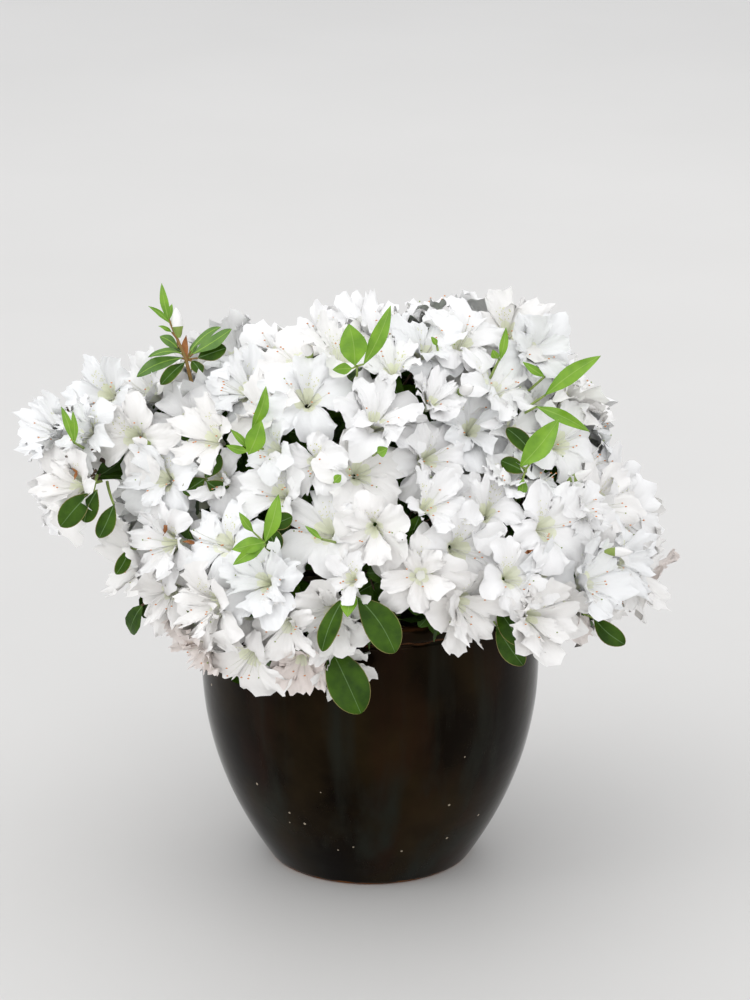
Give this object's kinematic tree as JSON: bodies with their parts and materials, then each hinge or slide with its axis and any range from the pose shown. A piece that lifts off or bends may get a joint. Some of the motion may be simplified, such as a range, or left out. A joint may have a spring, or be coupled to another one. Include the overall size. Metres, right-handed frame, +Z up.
{
  "type": "potted azalea shrub",
  "caption": "Evergreen shrub, a wide dome of ruffled white blossom with light and dark green leaves, spilling over the lip of a dark glazed egg-shaped pot that stands on its flat foot.",
  "frame": {"origin": "centre of the pot's flat underside", "axes": "+Z up, -Y towards the shrub's front as pictured, +X to the right of that view"},
  "size_m": [0.4586, 0.3566, 0.4115],
  "materials": {
    "glaze": "polished",
    "compost": "matte",
    "bark": "matte",
    "blossom": "matte",
    "clay": "matte",
    "throat": "matte",
    "stamen": "satin",
    "anther": "matte",
    "young_leaf": "satin",
    "old_leaf": "satin",
    "twig": "matte"
  },
  "bodies": {
    "root": {"pot": "glaze", "compost": "compost", "trunk": "bark", "bough_top_right": "bark", "mass_top_right": "blossom", "bough_top_left": "bark", "mass_top_left": "blossom", "bough_top_middle": "bark", "mass_top_middle": "blossom", "bough_centre": "bark", "mass_centre": "blossom", "bough_left_tip": "bark", "mass_left_tip": "blossom", "bough_left_low": "bark", "mass_left_low": "blossom", "bough_front_left": "bark", "mass_front_left": "blossom", "bough_front_right": "bark", "mass_front_right": "blossom", "bough_right": "bark", "mass_right": "blossom", "bough_back_right": "bark", "mass_back_right": "blossom", "bough_back_left": "bark", "mass_back_left": "blossom"}
  },
  "joints": []
}
